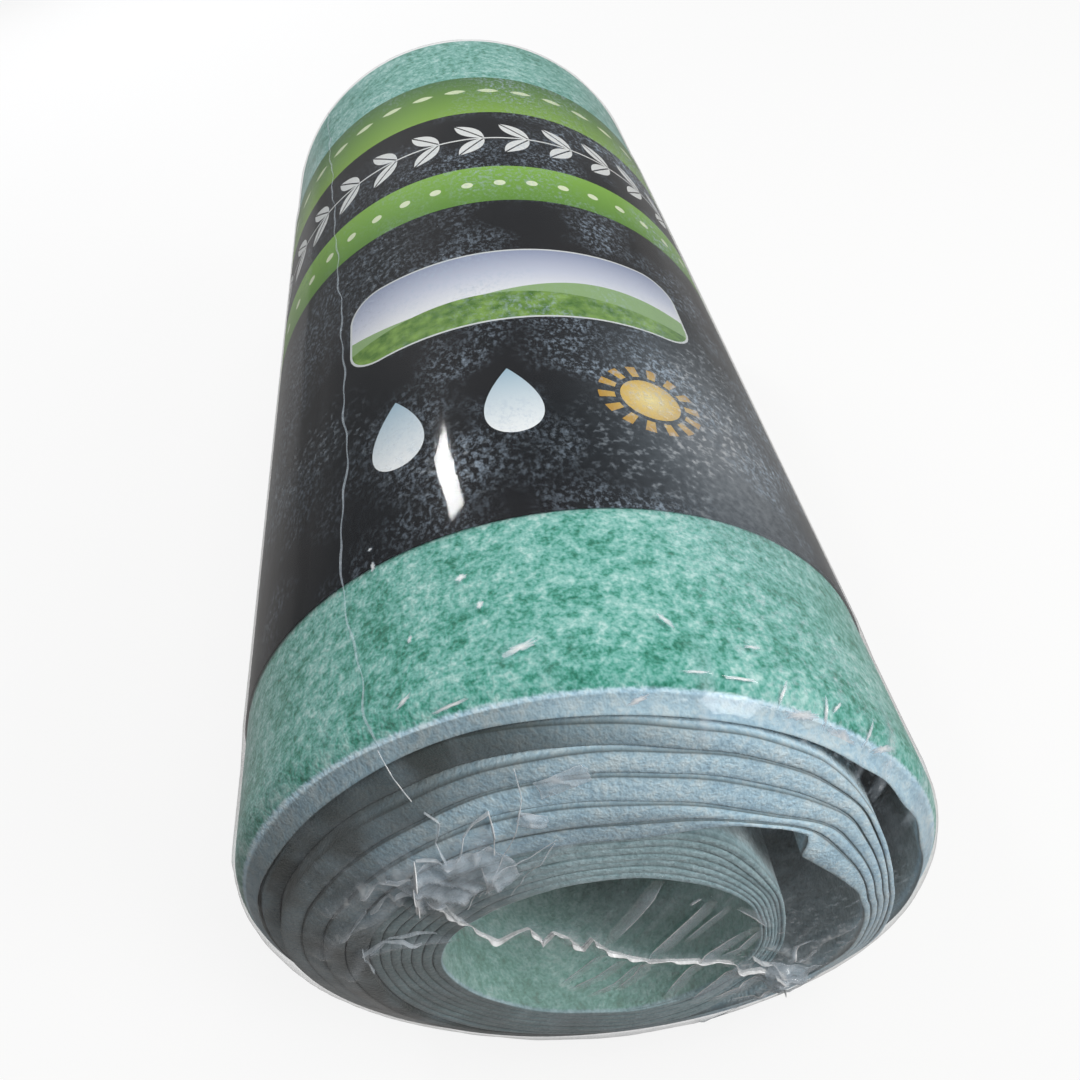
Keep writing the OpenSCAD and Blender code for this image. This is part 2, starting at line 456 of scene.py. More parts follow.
# Needle-punched cotton and wood fibre felt: a soft mottled nap, dyed green on its faces
# and left white through its core, so cut edges are pale, matt and fuzzy
def feltMaterial():
    felt, tree = newMaterial("needled_fibre_felt")
    place = node(tree, "TexCoord").outputs["Object"]
    pale, dyed, coil, hollow, crease, paintedShade = [
        node(tree, "Attribute", attribute_name=name).outputs["Fac"]
        for name in ("pale", "dyed", "coil", "hollow", "crease", "paintedShade")]
    # 16 mm drifts of dye, 3 mm tufts, and fibres that are drawn 1 mm wide to show
    clouds, tufts, fibres = [
        node(tree, "TexNoise", place, into={
            "Scale": 1 / size, "Detail": detail, "Roughness": rough}).outputs["Fac"]
        for size, detail, rough in ((0.016, 1.0, 0.5), (0.0030, 2.0, 0.6), (0.0010, 1.0, 0.6))]
    nap = node(tree, "Math", tufts, 0.52, operation="MULTIPLY")
    nap = node(tree, "Math", fibres, 0.32, nap, operation="MULTIPLY_ADD")
    nap = node(tree, "Math", clouds, 0.24, nap, operation="MULTIPLY_ADD")
    green = node(tree, "ValToRGB", nap, stops=[
        (0.38, "#18775F"), (0.70, "#BAE1DC"), (0.47, "#489E8B"), (0.54, "#72B8AD"), (0.61, "#92CAC1")])
    grey = node(tree, "ValToRGB", nap, stops=[(0.40, "#8A9B9E"), (0.68, "#D5E3E6"), (0.54, "#B3C5C9")])
    white = node(tree, "ValToRGB", nap, stops=[(0.40, "#AED3E8"), (0.66, "#E2F7FF"), (0.53, "#CAEAFA")])
    coilWhite = node(tree, "ValToRGB", nap, stops=[(0.40, "#96B9C0"), (0.66, "#CCE9F0"), (0.53, "#B2D3DA")])
    # painted light: the green inner faces towards the bore are lightened towards pale mint, so the bore reads
    # brighter
    boreLight = node(tree, "Math", hollow, 0.32, operation="MULTIPLY")
    green = node(tree, "Mix", boreLight, into={6: green, 7: "#CFE8DF"}, data_type="RGBA").outputs[2]
    face = node(tree, "Mix", dyed, into={6: grey, 7: green}, data_type="RGBA").outputs[2]
    cut = node(tree, "Mix", coil, into={6: white, 7: coilWhite}, data_type="RGBA").outputs[2]
    ragged = node(tree, "Math", fibres, 0.5, operation="SUBTRACT")
    paleEdge = node(tree, "Math", ragged, 0.4, pale, operation="MULTIPLY_ADD")
    paleMask = node(tree, "MapRange", paleEdge, 0.25, 0.75, interpolation_type="SMOOTHSTEP")
    # painted shade: the corners between turns are darkened towards dark grey
    creaseShade = node(tree, "Math", crease, 0.85, operation="MULTIPLY")
    # painted shade: the pale edges of the near end go dark grey-green round its left and lower side, broken up
    # by the drifts
    patchy = node(tree, "Math", clouds, 0.8, 0.52, operation="MULTIPLY_ADD", use_clamp=True)
    shadeAmount = node(tree, "Math", paintedShade, patchy, operation="MULTIPLY")
    colour = face
    for mask, tone in ((paleMask, cut), (creaseShade, "#39423F"), (shadeAmount, "#2B3431")):
        colour = node(tree, "Mix", mask, into={6: colour, 7: tone}, data_type="RGBA").outputs[2]
    bump = node(tree, "Bump", into={"Strength": 0.6, "Distance": 0.0006, "Height": fibres})
    shader = node(tree, "BsdfPrincipled", into={
        "Base Color": colour, "Roughness": 0.95, "IOR": 1.45, "Normal": bump,
        "Sheen Weight": 0.25, "Sheen Roughness": 0.6, "Specular IOR Level": 0.2,
    })
    node(tree, "OutputMaterial", shader)
    return felt


feltSheet = woundMat()
dress(feltSheet, feltMaterial(), "mat_fleece", "mat_roll")
print("mat wound,", len(feltSheet.data.polygons), "faces")


# The sleeve: one wrap of paper, drawn round the mat
sleeve = {"sides": 120, "cuts": 3, "paper": 0.00025, "sharpest": math.radians(40)}


def paperSleeve():
    bpy.ops.object.select_all(action="DESELECT")
    bpy.ops.mesh.primitive_cylinder_add(
        vertices=sleeve["sides"], radius=sleeveRadius, depth=sleeveHigh[1] - sleeveLow[1],
        location=(0, (sleeveLow[1] + sleeveHigh[1]) / 2, axisZ), rotation=(math.pi / 2, 0, 0),
        end_fill_type="NOTHING")
    wrap = bpy.context.object
    wrap.name = "paper_sleeve"
    bpy.ops.object.transform_apply(location=True, rotation=True, scale=True)
    bpy.ops.object.mode_set(mode="EDIT")
    bpy.ops.mesh.select_all(action="SELECT")
    bpy.ops.mesh.subdivide(number_cuts=sleeve["cuts"])
    bpy.ops.mesh.normals_make_consistent(inside=False)
    bpy.ops.object.mode_set(mode="OBJECT")
    points = getPoints(wrap)
    spread = np.hypot(points[:, 0], points[:, 2] - axisZ)
    points[:, 0] *= sleeveRadius / spread
    points[:, 2] = axisZ + (points[:, 2] - axisZ) * sleeveRadius / spread
    setPoints(wrap, points)
    addWall(wrap, sleeve["paper"], -1)
    bpy.ops.object.shade_smooth_by_angle(angle=sleeve["sharpest"])
    return wrap


sleevePrint = {  # places along the roll in metres, sizes in metres, angles in degrees round it
    "farBand": (0.102, 0.142),
    "midBand": (0.022, 0.050),
    "garland": {
        "count": 32, "y": 0.076, "away": 0.0068, "long": 0.0086, "wide": 0.0036, "turned": 52,
        "vein": 0.1, "stem": 0.0005,
    },
    "dots": {"count": 48, "y": 0.036, "size": 0.0021},
    "seeds": {"count": 40, "y": 0.126, "long": 0.0046, "wide": 0.0019},
    "panel": {
        "angle": 78, "y": -0.034, "half": (0.056, 0.0205), "corner": 0.012, "line": 0.0004, "horizon": -0.008,
    },
    # hills in the panel, far and near: length of a swell, where it starts, height, level
    "hills": ((0.017, 0.0, -0.0035, -0.003), (0.026, 1.1, 0.004, -0.009)),
    "sun": {
        "across": -0.030, "y": -0.092, "disc": 0.0088, "rays": (0.0104, 0.0150), "count": 14, "spoke": 0.1,
    },
    "drops": {"across": (0.008, 0.040), "y": -0.107, "tall": 0.028, "wide": 0.0078, "belly": 2.6},
}


# Coated paper, offset printed: dense black and leaf green inks, smooth and dull under the film,
# rubbed through to grey in patches
def printMaterial():
    paper, tree = newMaterial("coated_printed_paper")
    place = node(tree, "TexCoord").outputs["Object"]
    parts = node(tree, "SeparateXYZ", place)
    y = parts.outputs["Y"]
    height = node(tree, "Math", parts.outputs["Z"], axisZ, operation="SUBTRACT")
    angle = node(tree, "Math", height, parts.outputs["X"], operation="ARCTAN2")
    layers = []  # mask and ink of each thing printed on the black, from the bottom up

    # 60 mm drifts from cold to warm black
    grime = node(tree, "TexNoise", place, into={"Scale": 1 / 0.060, "Detail": 1.0})
    black = node(tree, "ValToRGB", grime.outputs["Fac"], stops=[(0.35, "#070A10"), (0.65, "#171619")])
    for name, nearTone, farTone in (("farBand", "#86B045", "#4A7440"), ("midBand", "#5F8E34", "#86B748")):
        start, stop = sleevePrint[name]
        shade = node(tree, "MapRange", y, start, stop)
        green = node(tree, "ValToRGB", shade, stops=[(0.0, nearTone), (1.0, farTone)])
        above = node(tree, "Math", y, start, operation="GREATER_THAN")
        below = node(tree, "Math", y, stop, operation="LESS_THAN")
        layers.append((node(tree, "Math", above, below, operation="MULTIPLY"), green))

    # rows that repeat round the sleeve: paired leaves, dots, and seed grains
    rows = {}
    for name in ("garland", "dots", "seeds"):
        row = sleevePrint[name]
        cell = node(tree, "Math", angle, row["count"] / math.tau, 0.25, operation="MULTIPLY_ADD")
        part = node(tree, "Math", cell, operation="FRACT")
        centred = node(tree, "Math", part, 0.5, operation="SUBTRACT")
        across = node(tree, "Math", centred, math.tau * sleeveRadius / row["count"], operation="MULTIPLY")
        rows[name] = across, node(tree, "Math", y, row["y"], operation="SUBTRACT")
    leaf = sleevePrint["garland"]
    across, along = rows["garland"]
    upward = node(tree, "Math", along, operation="ABSOLUTE")
    away = node(tree, "Math", upward, leaf["away"], operation="SUBTRACT")
    cosine, sine = math.cos(math.radians(leaf["turned"])), math.sin(math.radians(leaf["turned"]))
    tipward = node(tree, "Math", across, cosine / leaf["long"], operation="MULTIPLY")
    tipward = node(tree, "Math", away, sine / leaf["long"], tipward, operation="MULTIPLY_ADD")
    aside = node(tree, "Math", across, -sine / leaf["wide"], operation="MULTIPLY")
    aside = node(tree, "Math", away, cosine / leaf["wide"], aside, operation="MULTIPLY_ADD")
    aside = node(tree, "Math", aside, operation="ABSOLUTE")
    lens = node(tree, "Math", tipward, tipward, aside, operation="MULTIPLY_ADD")
    leaves = node(tree, "Math", lens, 1.0, operation="LESS_THAN")
    vein = node(tree, "Math", aside, leaf["vein"], operation="GREATER_THAN")
    leaves = node(tree, "Math", leaves, vein, operation="MULTIPLY")
    stem = node(tree, "Math", upward, leaf["stem"], operation="LESS_THAN")
    leaves = node(tree, "Math", leaves, stem, operation="MAXIMUM")
    layers.append((leaves, "#E6E9E8"))

    across, along = rows["dots"]
    away = node(tree, "Math", along, along, operation="MULTIPLY")
    away = node(tree, "Math", across, across, away, operation="MULTIPLY_ADD")
    dots = node(tree, "Math", away, sleevePrint["dots"]["size"] ** 2, operation="LESS_THAN")
    layers.append((dots, "#E3EECB"))

    across, along = rows["seeds"]
    tipward = node(tree, "Math", across, 1 / sleevePrint["seeds"]["long"], operation="MULTIPLY")
    aside = node(tree, "Math", along, 1 / sleevePrint["seeds"]["wide"], operation="MULTIPLY")
    aside = node(tree, "Math", aside, operation="ABSOLUTE")
    lens = node(tree, "Math", tipward, tipward, aside, operation="MULTIPLY_ADD")
    layers.append((node(tree, "Math", lens, 1.0, operation="LESS_THAN"), "#DCE9C2"))

    # a wide landscape panel, and under it a sun and two drops, on both sides of the sleeve
    panel = sleevePrint["panel"]
    half = node(tree, "Math", angle, 1 / math.pi, 0.5 - panel["angle"] / 180, operation="MULTIPLY_ADD")
    half = node(tree, "Math", half, operation="FRACT")
    half = node(tree, "Math", half, 0.5, operation="SUBTRACT")
    across = node(tree, "Math", half, math.pi * sleeveRadius, operation="MULTIPLY")
    along = node(tree, "Math", y, panel["y"], operation="SUBTRACT")
    away = 0.0
    for run, reach in zip((across, along), panel["half"]):
        past = node(tree, "Math", run, operation="ABSOLUTE")
        past = node(tree, "Math", past, reach - panel["corner"], operation="SUBTRACT")
        past = node(tree, "Math", past, 0.0, operation="MAXIMUM")
        away = node(tree, "Math", past, past, away, operation="MULTIPLY_ADD")
    away = node(tree, "Math", away, operation="SQRT")
    inPanel = node(tree, "Math", away, panel["corner"], operation="LESS_THAN")
    inPicture = node(tree, "Math", away, panel["corner"] - 2 * panel["line"], operation="LESS_THAN")
    skyShade = node(tree, "MapRange", along, panel["horizon"], panel["half"][1])
    picture = node(tree, "ValToRGB", skyShade, stops=[(0.0, "#F1F3F5"), (1.0, "#8F99B4"), (0.5, "#C5CBDB")])
    turf = node(tree, "TexNoise", place, into={"Scale": 1 / 0.004, "Detail": 3.0})  # 4 mm tussocks
    turf = node(tree, "ValToRGB", turf.outputs["Fac"], stops=[(0.3, "#456F2C"), (0.7, "#85A952")])
    for (swell, start, tall, level), grass in zip(sleevePrint["hills"], ("#8FAE7A", turf)):
        hill = node(tree, "Math", across, 1 / swell, start, operation="MULTIPLY_ADD")
        hill = node(tree, "Math", hill, operation="SINE")
        hill = node(tree, "Math", hill, tall, level, operation="MULTIPLY_ADD")
        hill = node(tree, "Math", along, hill, operation="LESS_THAN")
        picture = node(tree, "Mix", hill, into={6: picture, 7: grass}, data_type="RGBA").outputs[2]
    layers += [(inPanel, "#D5DADB"), (inPicture, picture)]

    sun = sleevePrint["sun"]
    sunX = node(tree, "Math", across, sun["across"], operation="SUBTRACT")
    sunY = node(tree, "Math", y, sun["y"], operation="SUBTRACT")
    away = node(tree, "Math", sunY, sunY, operation="MULTIPLY")
    away = node(tree, "Math", sunX, sunX, away, operation="MULTIPLY_ADD")
    away = node(tree, "Math", away, operation="SQRT")
    turned = node(tree, "Math", sunY, sunX, operation="ARCTAN2")
    spokes = node(tree, "Math", turned, sun["count"], operation="MULTIPLY")
    spokes = node(tree, "Math", spokes, operation="COSINE")
    spokes = node(tree, "Math", spokes, sun["spoke"], operation="GREATER_THAN")
    inner = node(tree, "Math", away, sun["rays"][0], operation="GREATER_THAN")
    outer = node(tree, "Math", away, sun["rays"][1], operation="LESS_THAN")
    rays = node(tree, "Math", inner, outer, operation="MULTIPLY")
    rays = node(tree, "Math", rays, spokes, operation="MULTIPLY")
    disc = node(tree, "Math", away, sun["disc"], operation="LESS_THAN")
    gold = node(tree, "MapRange", away, 0.0, sun["rays"][1])
    gold = node(tree, "ValToRGB", gold, stops=[(0.0, "#F0DF9A"), (1.0, "#B58A2C"), (0.5, "#D9B653")])
    layers.append((node(tree, "Math", disc, rays, operation="MAXIMUM"), gold))

    drop = sleevePrint["drops"]
    tall = node(tree, "MapRange", y, drop["y"], drop["y"] + drop["tall"])
    taper = node(tree, "Math", 1.0, tall, operation="SUBTRACT")
    belly = node(tree, "Math", tall, operation="SQRT")
    belly = node(tree, "Math", belly, taper, operation="MULTIPLY")
    belly = node(tree, "Math", belly, drop["belly"] * drop["wide"], operation="MULTIPLY")
    water = node(tree, "ValToRGB", tall, stops=[(0.0, "#F3F7F8"), (1.0, "#9DBACB")])
    for middle in drop["across"]:
        aside = node(tree, "Math", across, middle, operation="SUBTRACT")
        aside = node(tree, "Math", aside, operation="ABSOLUTE")
        layers.append((node(tree, "Math", aside, belly, operation="LESS_THAN"), water))

    # rubbed patches of about 38 mm, where pale fibre shows through the ink as specks
    # of over 1 mm, drawn out along the roll
    patches = node(tree, "TexNoise", place, into={"Scale": 1 / 0.038, "Detail": 2.0, "Roughness": 0.6})
    drawn = node(tree, "Mapping", place, into={"Scale": (1 / 0.0013, 1 / 0.0019, 1 / 0.0013)})
    grains = node(tree, "TexNoise", drawn, into={"Scale": 1.0, "Detail": 3.0, "Roughness": 0.65})
    worn = node(tree, "MapRange", patches.outputs["Fac"], 0.42, 0.70)
    toRight = node(tree, "MapRange", angle, 1.9, 0.7, 0.6, 1.9)  # more of it towards the right
    specks = node(tree, "MapRange", grains.outputs["Fac"], 0.48, 0.80)
    rubbed = node(tree, "Math", worn, specks, operation="MULTIPLY")
    rubbed = node(tree, "Math", rubbed, toRight, operation="MULTIPLY", use_clamp=True)
    layers.append((rubbed, "#ACBED0"))

    colour = black
    for mask, ink in layers:
        colour = node(tree, "Mix", mask, into={6: colour, 7: ink}, data_type="RGBA").outputs[2]
    shader = node(tree, "BsdfPrincipled", into={
        "Base Color": colour, "Roughness": 0.55, "IOR": 1.5, "Specular IOR Level": 0.12})
    node(tree, "OutputMaterial", shader)
    return paper


wrapPiece = paperSleeve()
dress(wrapPiece, printMaterial(), "sleeve_paper", "printed_sleeve")
print("sleeve wrapped")


# The film: a profile spun round the axis, then creased
film = {
    "sides": 400,
    "endStep": 0.0013,
    "lift": 0.00075,  # gap between the mat and the film at the near end
    "corner": 0.0105,  # round of the near rim
    "hug": 0.00055,  # the film draws in by this much past the ends of the sleeve
    "wall": 0.0001,
    "weldWall": 0.0002,  # doubled film, at welds and folded edges
    "earWall": 0.00015,
    "thread": 0.00013,  # radius of a thread that the film was drawn out to
    "ripple": 0.00022,  # height of the ripples along the roll
    "rimPleat": 0.00035,  # and of the pleats over the near rim
    "farGather": 0.0008,  # depth of the gathers in the far end
    "farSink": 0.003,  # and how far its middle sinks in
    # shares of its length at which the side has a ring of points
    "rings": [
        0.006, 0.013, 0.021, 0.03, 0.04, 0.05, 0.062, 0.075,
        *np.linspace(0.09, 0.91, 40), 0.93, 0.95, 0.97, 0.985],
    # the weld along the roll: place and angle
    "seamAngle": [
        (-0.200, 110.5), (-0.185, 110), (-0.128, 115.5), (-0.100, 114),
        (-0.024, 116), (0.110, 122), (0.200, 127)],
    "streakWay": (-0.479, -0.878),  # fine creases on the near end run this way
    # creased parts of the near end: middle in mm, stretch, and the reach at which each fades out and is full
    "patches": {
        "bore": ((22, -8), (0.9, 1.0), (46, 26)),
        "low": ((2, -36), (0.7, 1.0), (34, 16)),
        "ear": ((-28, 46), (1.0, 1.1), (26, 8)),
        "knot": ((43, -34), (1.0, 1.0), (17, 4)),
    },
    # loose corners of the bag: name, middle in mm, half size, turn in degrees, height in mm, seed
    "ears": [
        ("film_ear", (-23, 48), (12, 8), 18, 3.0, 1.7),
        ("film_knot", (44, -31), (6, 7), 60, 2.6, 6.2),
        # the two film_crease pieces are small crumples on the upper bands whose milk is partly painted
        # highlight, standing in for white glints
        ("film_crease", (5, 71), (5.5, 2.0), 12, 1.2, 3.3),
        ("film_crease", (-3, 63.5), (3.0, 1.6), -20, 0.9, 4.8),
    ],
    # lines on the near end, in mm across and up from the axis
    "endSeam": [
        (-30, 38), (-28, 28), (-25, 19), (-22, 14), (-17, 17), (-14, 18), (-12, 10), (-9, 14), (-6, 10),
        (-4, 3), (-1, 8), (2, -1), (11, -10), (20, -13), (30, -17), (33, -25), (38, -25), (42, -30), (43, -40)],
    "folds": [
        [(-34, 46), (-40, 40), (-47, 33), (-53, 30), (-60, 24), (-66, 14)],
        [(-33, 18), (-40, 19), (-46, 19), (-55, 16), (-62, 4)],
        [(-30, 54), (-36, 52), (-46, 45), (-56, 36)],
        [(41, -13), (48, -22), (53, -14), (61, -8)],
        [(44, -27), (36, -44), (20, -56)],
        [(-25, 54), (-18, 55), (-13, 62)],
        [(-24, 41), (-12, 45), (2, 53)],
    ],
    "threads": [
        [(-29.6, 80.2), (-28.6, 76), (-27, 73), (-25.7, 71)],
        [(-4.1, 76), (-4.5, 69.1), (-8.7, 58.8), (-13.5, 49.6), (-18, 40.5)],
        [(-0.6, 55.7), (-7.4, 50.3), (-13.6, 48.2), (-19.3, 39.9), (-23.6, 33.7)],
        [(-0.4, 54.8), (-6.7, 45.4), (-13.7, 36.5)],
    ],
    # pleats over the open centre, and two at the loose corner, whose white edges are partly milky fold and
    # partly painted highlight:
    # line of the sharp edge, width in mm of the veil to its right, milkiness
    "pleats": [
        ([(19.5, 30.5), (16.4, 23.0), (10.8, 13.0), (4.0, 3.3)], -4.0, 0.26),
        ([(28.1, 18.6), (23.1, 10.2), (16.7, 0.8), (9.8, -9.1)], 3.6, 0.42),
        ([(9.8, -9.1), (5.8, -17.7), (-0.6, -25.8)], 3.2, 0.28),
        ([(24.1, 17.0), (27.0, 19.8)], 1.0, 0.55),
        ([(32.1, 14.5), (26.5, 6.5), (20.1, -2.3)], 2.2, 0.26),
        ([(37.7, 0.8), (30.5, -5.4), (24.4, -11.8), (17.6, -22.1), (10.8, -36.2)], 3.4, 0.36),
        ([(39.3, -1.1), (32.9, -10.5), (27.7, -13.9)], 2.6, 0.30),
        ([(33.1, -17.6), (26.6, -28.2), (17.0, -41.7)], 4.6, 0.36),
        ([(40.2, -25.7), (31.3, -34.9), (22.0, -42.1)], 3.0, 0.42),
        ([(44.0, -31.9), (36.2, -40.7), (27.5, -44.7)], 2.0, 0.36),
        ([(0.4, -1.3), (-6.6, -9.4), (-14.1, -17.8)], 2.2, 0.20),
        ([(4.6, -6.3), (-4.1, -15.8), (-12.5, -21.3)], 3.0, 0.26),
        ([(9.1, -9.2), (0.1, -21.2), (-8.3, -26.9)], 2.6, 0.24),
        ([(45.7, -24.1), (48.1, -14.3), (52.3, -12.3)], 1.6, 0.45),
        ([(46.5, -22.5), (50.1, -20.2), (52.6, -15.9)], 1.2, 0.40),
        ([(34.0, 12.0), (38.0, 5.0), (41.0, -2.0)], 2.4, 0.28),
        ([(-32.6, 47.0), (-34.5, 40.0), (-36.4, 33.0)], 2.2, 0.95),
        ([(-17.1, 50.0), (-17.3, 45.2), (-18.2, 39.5)], 0.9, 0.5),
    ],
    # folded edges of the loose corners: line, height in metres, milkiness
    "earEdges": [
        ([(-30.0, 55.6), (-32.6, 49.4), (-33.4, 43.3), (-35.2, 36.2)], 0.0042, 0.8),
        ([(-29.7, 55.5), (-25.4, 55.4), (-22.8, 53.8), (-19.7, 57.1), (-17.9, 61.4), (-14.8, 64.2),
          (-11.2, 66.3)], 0.0010, 0.5),
        ([(-11.2, 66.3), (-11.8, 60.7), (-13.0, 54.5)], 0.0014, 0.7),
        ([(-17.1, 49.4), (-17.3, 45.2), (-18.0, 40.5)], 0.0012, 0.6),
        ([(-24.2, 67.3), (-22.0, 64.9), (-24.1, 59.9), (-23.1, 55.6)], 0.0008, 0.4),
        ([(-33.7, 39.6), (-28.4, 37.8), (-27.7, 30.9), (-26.8, 24.5)], 0.0010, 0.5),
        ([(-45.6, 44.4), (-38.8, 51.0), (-31.9, 52.9)], 0.0010, 0.4),
        ([(-45.9, 36.7), (-41.5, 41.5), (-37.6, 44.7), (-33.1, 46.6)], 0.0012, 0.4),
        ([(-57.6, 24.7), (-51.3, 32.1), (-46.9, 37.1)], 0.0010, 0.35),
        ([(-54.6, 17.0), (-48.3, 20.7), (-43.3, 20.7), (-39.8, 17.6)], 0.0011, 0.35),
        ([(-52.4, 17.4), (-46.5, 21.8), (-39.3, 22.7), (-35.4, 20.8)], 0.0009, 0.3),
        ([(-54.0, 18.6), (-55.1, 13.4), (-55.3, 5.9)], 0.0010, 0.35),
        ([(36.3, -18.8), (38.2, -22.2), (41.4, -24.3), (44.1, -30.0), (43.1, -36.4)], 0.0018, 0.6),
        ([(41, -27), (44, -33), (43, -40)], 0.0028, 0.6),
    ],
    # painted highlights on the film: small milky white spots that stand in for glints: place along the roll in
    # metres, angle round it, length, width, and turn
    "glints": [
        (-0.1765, 88.0, 0.0080, 0.0022, 0.35), (-0.1530, 94.8, 0.0028, 0.0018, 0.2),
        (-0.1625, 92.6, 0.0026, 0.0016, 1.0), (-0.1820, 104.5, 0.0042, 0.0012, 0.5),
        (-0.1660, 103.0, 0.0024, 0.0013, 1.3), (-0.1718, 68.5, 0.0046, 0.0014, 2.2),
        (-0.1760, 57.0, 0.0040, 0.0010, 0.1), (-0.1835, 66.0, 0.0060, 0.0007, 0.05),
        (-0.1838, 60.0, 0.0080, 0.0008, 0.02), (-0.1854, 98.5, 0.0095, 0.0007, 0.1),
        (-0.1390, 108.5, 0.0036, 0.0012, 1.6), (-0.1330, 109.0, 0.0014, 0.0010, 0.0),
        (-0.1872, 50.0, 0.0090, 0.0016, 0.10), (-0.1884, 41.0, 0.0120, 0.0020, -0.15),
        (-0.1868, 33.0, 0.0070, 0.0014, 0.30), (-0.1846, 53.5, 0.0050, 0.0010, 1.20),
        (-0.1858, 46.0, 0.0066, 0.0012, 1.75), (-0.1842, 44.2, 0.0030, 0.0009, 0.80),
        (-0.1860, 37.0, 0.0056, 0.0011, 1.35), (-0.1880, 74.0, 0.0048, 0.0008, 0.25),
    ],
}
flatTo = filmRadius - film["hug"] - film["corner"]  # the near end is flat out to here


def pathDistance(x, z, path):  # from each point to a bent line
    nearest = np.full(len(x), 1e9)
    for (ax, az), (bx, bz) in zip(path[:-1], path[1:]):
        span = (bx - ax) ** 2 + (bz - az) ** 2
        t = np.clip(((x - ax) * (bx - ax) + (z - az) * (bz - az)) / span, 0, 1)
        nearest = np.minimum(nearest, np.hypot(x - ax - t * (bx - ax), z - az - t * (bz - az)))
    return nearest


def creaseField(u, v, wide, tall, seed):  # sharp ridges, 0 to 1, of this width and length in mm
    found = np.array([noise.noise(Vector((a / wide + seed, b / tall, seed * 0.7))) for a, b in zip(u, v)])
    return np.clip(1 - np.abs(found) * 3.2, 0, 1)


def patchAt(name, x, z):  # from 0 outside a creased part to 1 within
    (midX, midZ), (wide, tall), (fades, full) = film["patches"][name]
    return smoothStep(fades, full, np.hypot((x - midX) * wide, (z - midZ) * tall))


def endCreases(x, z):  # how far the near end stands out, and how milky it is, at places in mm from the axis
    wayX, wayZ = film["streakWay"]
    alongWay, acrossWay = x * wayX + z * wayZ, x * -wayZ + z * wayX
    spots = np.stack([x, z, x * 0], 1)
    streaks = creaseField(acrossWay, alongWay, 11, 120, 2.3) ** 2
    streaks = streaks * np.clip(0.55 + 0.9 * wobble(spots, 1 / 22, 6.6), 0, 1)
    fine = creaseField(acrossWay, alongWay, 4.5, 90, 7.9) ** 2
    fine = fine * np.clip(0.5 + 1.0 * wobble(spots, 1 / 16, 8.3), 0, 1)
    drawn = np.maximum(patchAt("bore", x, z) * smoothStep(-26, -4, x), 0.7 * patchAt("low", x, z))
    ear, knot = patchAt("ear", x, z), patchAt("knot", x, z)
    crumple = creaseField(x, z, 7, 7, 4.4)
    out = drawn * (0.4 * streaks + 0.2 * fine) + (1.6 * ear + 1.5 * knot) * crumple
    # the milk on the streaks is partly creased film and partly painted highlight on the wrinkles
    milk = drawn * (0.06 + 0.14 * streaks + 0.12 * fine)
    milk += ear * (0.05 + 0.20 * crumple ** 3) + 0.3 * knot * crumple ** 2
    for path in film["folds"]:
        near = np.exp(-(pathDistance(x, z, path) / 1.5) ** 2)
        out += 1.3 * near
        milk += 0.24 * near
    seam = pathDistance(x, z, film["endSeam"])
    out += 1.0 * np.exp(-(seam / 2.5) ** 2)
    milk += 0.22 * np.exp(-(seam / 2.2) ** 2)
    slack = creaseField(x, z, 16, 16, 9.1)
    out += 0.2 * slack * smoothStep(84, 70, np.hypot(x, z))
    milk += 0.05 * slack ** 3 + 0.03
    return out / 1000, np.clip(milk, 0, 0.9)


def reachAt(y):  # radius of the film along the roll
    past = smoothStep(0.002, 0.014, np.maximum(sleeveLow[1] - y, y - sleeveHigh[1]))
    return filmRadius - film["hug"] * past


def rimReach(y):  # the same, where the film rounds the near rim too
    corner = film["corner"]
    past = np.clip(nearY + rollEnd["slide"] + corner - y, 0, 0.99 * corner)
    return reachAt(y) - roundingAt(past, corner, corner)


def leaned(x, y, z):  # the near end of the film leans as the mat does
    return y + smoothStep(0.150, 0.185, -y) * leanAt(x, z)


def sidePoints(y, turned, lift):  # points on the side of the roll, this much off the film
    reach = rimReach(y) + lift
    x, z = reach * np.cos(turned), axisZ + reach * np.sin(turned)
    return np.stack([x, leaned(x, y, z), z], 1)


def endPoints(x, z, lift):  # points on the near end, this much off the film, from places in mm
    radius, high = np.hypot(x, z) / 1000, axisZ + z / 1000
    y = nearY - film["lift"] + lagAt(radius) + roundingAt(radius, filmRadius - film["hug"], film["corner"])
    return np.stack([x / 1000, y + leanAt(x / 1000, high) - endCreases(x, z)[0] - lift, high], 1)


def filmProfile():
    corner, farCorner = film["corner"], rollEnd["corner"]
    nearPlane, farPlane = nearY - film["lift"], filmHigh[1]
    radii = np.concatenate([[0.0], np.arange(film["endStep"], flatTo, film["endStep"])])
    profile = [(r, nearPlane + float(lagAt(r))) for r in radii]
    for turned in np.linspace(0, math.pi / 2, 11):
        r = flatTo + corner * math.sin(turned)
        profile.append((r, nearPlane + float(lagAt(min(r, matRadius))) + corner * (1 - math.cos(turned))))
    farFlat = filmRadius - film["hug"] - farCorner
    start = profile[-1][1]
    reach = farPlane - farCorner - start
    for share in film["rings"]:
        profile.append((float(reachAt(start + share * reach)), start + share * reach))
    for turned in np.linspace(math.pi / 2, 0, 9):
        r = farFlat + farCorner * math.sin(turned)
        profile.append((r, farPlane - farCorner * (1 - math.cos(turned))))
    return profile + [(r, farPlane) for r in np.linspace(farFlat, 0, 24)[1:]]


